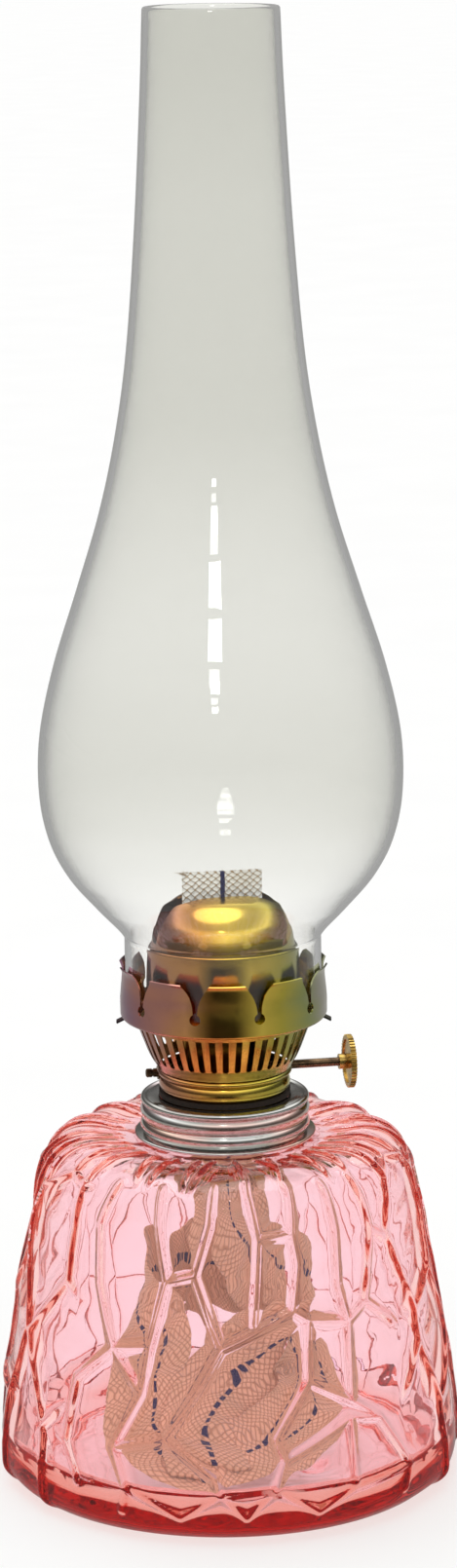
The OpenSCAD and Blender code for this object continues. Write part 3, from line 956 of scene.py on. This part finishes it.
def make_dark_card():
    """A studio card before the lamp, black in the middle, seen only in the metal's gloss."""
    turn = math.radians(CAMERA_BEARING)
    ahead = (math.sin(turn), -math.cos(turn), 0.0)
    side = (math.cos(turn), math.sin(turn), 0.0)
    reach = np.array([[0.1, 0.1], [4.0, 4.0]])
    spread = np.array([[-1, 1], [-1, 1]]) * reach
    points = reach[..., None] * np.array(ahead) + spread[..., None] * np.array(side)
    points[..., 2] = 0.002
    card = skin("dark_card", points, wrap_columns=False)
    made, t = material("black_card")
    dot = {"operation": "DOT_PRODUCT"}
    along = t.add("VectorMath", t.place, ahead, settings=dot).outputs["Value"]
    across = t.add("VectorMath", t.place, side, settings=dot).outputs["Value"]
    slant = t.maths("DIVIDE", t.maths("ABSOLUTE", across), along)
    nap = t.maths("MULTIPLY", t.noise(t.place, 60.0, 3.0), 0.02)
    fade = t.spread(slant, 0.25, 0.9, 0.02, 0.5)
    tone = t.maths("ADD", fade, nap)
    body = t.add("BsdfPrincipled", Base_Color=tone, Roughness=0.9, Specular_IOR_Level=0.0)
    gone = t.add("BsdfTransparent", (1, 1, 1, 1))
    seen = t.add("MixShader", satin_gloss(t, t.add("LightPath")), gone.outputs[0], body.outputs[0])
    finish_material(t, seen.outputs[0])
    card.data.materials.append(made)
    card.visible_camera = False
    card.visible_diffuse = False
    card.visible_transmission = False
    card.visible_shadow = False


def make_world():
    """White light all round, and for metal a room that is dark low down and bright above."""
    world = bpy.data.worlds.new("studio")
    world.use_nodes = True
    world.cycles.sampling_method = "NONE"
    bpy.context.scene.world = world
    t = Tree(world.node_tree)
    out = t.add("OutputWorld")
    height = t.add("SeparateXYZ", t.add("TexCoord").outputs["Generated"]).outputs["Z"]
    share = t.spread(height, -1, 1)
    room = t.ramp(share, [
        (0.0, grey(0.3)), (0.5, (0.10, 0.095, 0.09, 1)), (0.63, (0.12, 0.115, 0.11, 1)),
        (0.72, (0.45, 0.44, 0.43, 1)), (0.79, (1.6, 1.6, 1.58, 1)),
        (0.9, grey(0.75)), (1.0, grey(0.9))])
    path = t.add("LightPath")
    sky = t.mix(sharp_gloss(t, path), grey(SKY), grey(SKY_IN_GLASS))
    sky = t.mix(path.outputs["Is Transmission Ray"], sky, grey(SKY_THROUGH_GLASS))
    light = t.mix(satin_gloss(t, path), sky, room)
    light = t.mix(path.outputs["Is Camera Ray"], light, grey(BACKDROP))
    back = t.add("Background", light, 1.0)
    t.tree.links.new(back.outputs[0], out.inputs["Surface"])


def direction(bearing, elevation):
    """Unit vector towards a bearing from -Y and an elevation, both in degrees."""
    b, e = math.radians(bearing), math.radians(elevation)
    return Vector((math.sin(b) * math.cos(e), -math.cos(b) * math.cos(e), math.sin(e)))


def add_light(name, kind, bearing, elevation, distance=3.0):
    """A light that faces the lamp's middle."""
    lamp = bpy.data.lights.new(name, kind)
    held = bpy.data.objects.new(name, lamp)
    way = direction(bearing, elevation)
    held.location = Vector((0, 0, 0.2)) + distance * way
    held.rotation_euler = way.to_track_quat("Z", "Y").to_euler()
    bpy.context.scene.collection.objects.link(held)
    return lamp, held


def window_pane(name, elevation, tall, wide, radiance, only=None):
    """A bright pane of a window, its size in degrees, that may light some pieces only."""
    lamp, held = add_light(name, "AREA", WINDOW_BEARING, elevation, WINDOW_DISTANCE)
    lamp.shape = "RECTANGLE"
    lamp.size = WINDOW_DISTANCE * math.radians(wide)
    lamp.size_y = WINDOW_DISTANCE * math.radians(tall)
    lamp.energy = radiance * math.pi * lamp.size * lamp.size_y
    if only:
        receivers = bpy.data.collections.new(name + "_receivers")
        for piece in only:
            receivers.objects.link(piece)
        held.light_linking.receiver_collection = receivers


def make_camera():
    """The camera of the photo, aimed by its bearing, pitch and roll."""
    bearing = math.radians(CAMERA_BEARING)
    lens = bpy.data.cameras.new("camera")
    lens.lens = CAMERA_LENS
    lens.sensor_width = 36
    lens.clip_start = 0.05
    held = bpy.data.objects.new("camera", lens)
    place = Matrix.Translation((CAMERA_DISTANCE * math.sin(bearing),
                                -CAMERA_DISTANCE * math.cos(bearing), CAMERA_HEIGHT))
    yaw = Matrix.Rotation(math.radians(CAMERA_BEARING - CAMERA_YAW_OFF_AXIS), 4, "Z")
    pitch = Matrix.Rotation(math.radians(90 - CAMERA_PITCH), 4, "X")
    roll = Matrix.Rotation(math.radians(CAMERA_ROLL), 4, "Z")
    held.matrix_world = place @ yaw @ pitch @ roll
    bpy.context.scene.collection.objects.link(held)
    bpy.context.scene.camera = held


make_floor()
make_dark_card()
make_world()
overhead, _ = add_light("overhead", "SUN", 200, 80)
overhead.energy = 0.95
overhead.angle = math.radians(46)
panes = [(17.8, 0.8, 4), (21.6, 3.0, 6), (30.5, 8.6, 9.5), (38, 0.9, 7)]
for number, (elevation, tall, wide) in enumerate(panes):
    window_pane("pane_%d" % number, elevation, tall, wide, 24, [chimney])
window_pane("pane_high", 46, 3.0, 6, 12)
window_pane("wick_fill", 24, 20, 20, 7, wick_pieces)
make_camera()
scene = bpy.context.scene
scene.view_settings.view_transform = "Standard"
scene.cycles.use_denoising = True
scene.cycles.max_bounces = 32
scene.cycles.transmission_bounces = 28
scene.cycles.glossy_bounces = 24
scene.cycles.diffuse_bounces = 4
scene.cycles.transparent_max_bounces = 16
scene.cycles.sample_clamp_indirect = 8.0
